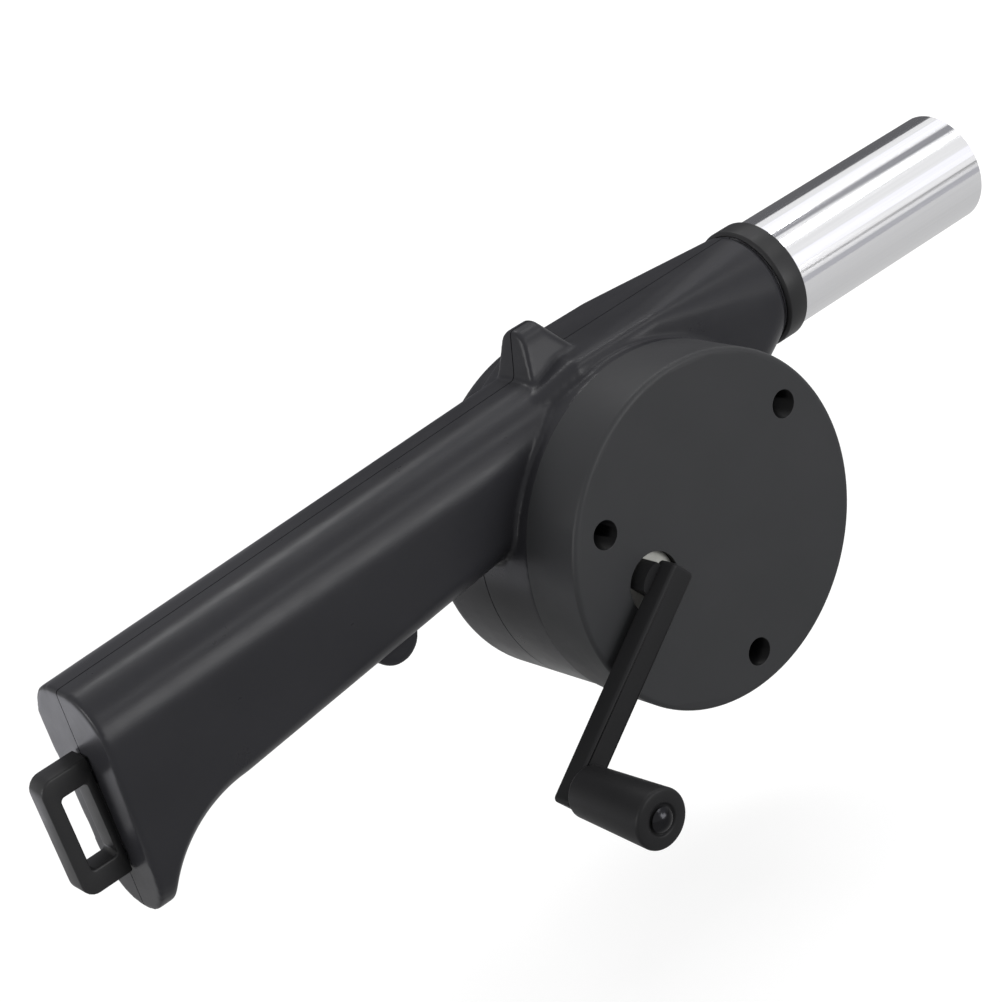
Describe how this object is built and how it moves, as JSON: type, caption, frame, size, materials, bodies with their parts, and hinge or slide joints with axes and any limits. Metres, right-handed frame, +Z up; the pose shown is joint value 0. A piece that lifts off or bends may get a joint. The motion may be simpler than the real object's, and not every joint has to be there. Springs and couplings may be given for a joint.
{
  "type": "hand crank blower",
  "caption": "Hand-cranked fire blower: moulded pistol handle, round fan drum with a geared side crank, and a straight steel nozzle with a collar.",
  "frame": {"origin": "centre of the nozzle tube's mouth", "axes": "+X out of the nozzle along its axis, -Y to the crank's side, +Z up when the handle is held level"},
  "size_m": [0.2794, 0.0869, 0.0932],
  "materials": {
    "casing": "satin",
    "crank": "satin",
    "nylon": "matte",
    "fan": "matte",
    "nozzle": "polished",
    "steel": "satin",
    "pin": "gloss",
    "brass": "satin"
  },
  "bodies": {
    "casing": {"right_shell": "casing", "left_shell": "casing", "gear_cover": "casing", "gear_plate": "nylon", "cover_screws": "steel", "shell_screws": "steel", "nozzle_tube": "nozzle", "nozzle_collar": "casing", "hanging_loop": "casing", "idler_pin": "steel", "plate_bush": "brass", "rear_bush": "brass"},
    "crank": {"crank_arm": "crank", "crank_gear": "nylon", "knob_pin": "pin"},
    "knob": {"knob": "casing"},
    "idler": {"idler_gear": "nylon"},
    "fan": {"fan_pinion": "brass", "fan_shaft": "steel", "impeller": "fan", "thrust_washers": "brass"}
  },
  "joints": [
    {"name": "crank_spin", "type": "hinge", "parent": "casing", "child": "crank", "pos_m": [-0.1444, -0.034, -0.0317], "axis": [0, 1, 0], "continuous": true},
    {"name": "knob_spin", "type": "hinge", "parent": "crank", "child": "knob", "pos_m": [-0.18234, -0.053, -0.06029], "axis": [0, 1, 0], "continuous": true},
    {"name": "idler_spin", "type": "hinge", "parent": "casing", "child": "idler", "pos_m": [-0.13301, -0.026, -0.04512], "axis": [0, 1, 0], "continuous": true},
    {"name": "fan_spin", "type": "hinge", "parent": "casing", "child": "fan", "pos_m": [-0.124, 0, -0.03], "axis": [0, 1, 0], "continuous": true}
  ],
  "couplings": [
    {"joint": "idler_spin", "follows": "crank_spin", "ratio": -2.6667},
    {"joint": "fan_spin", "follows": "crank_spin", "ratio": 8}
  ]
}
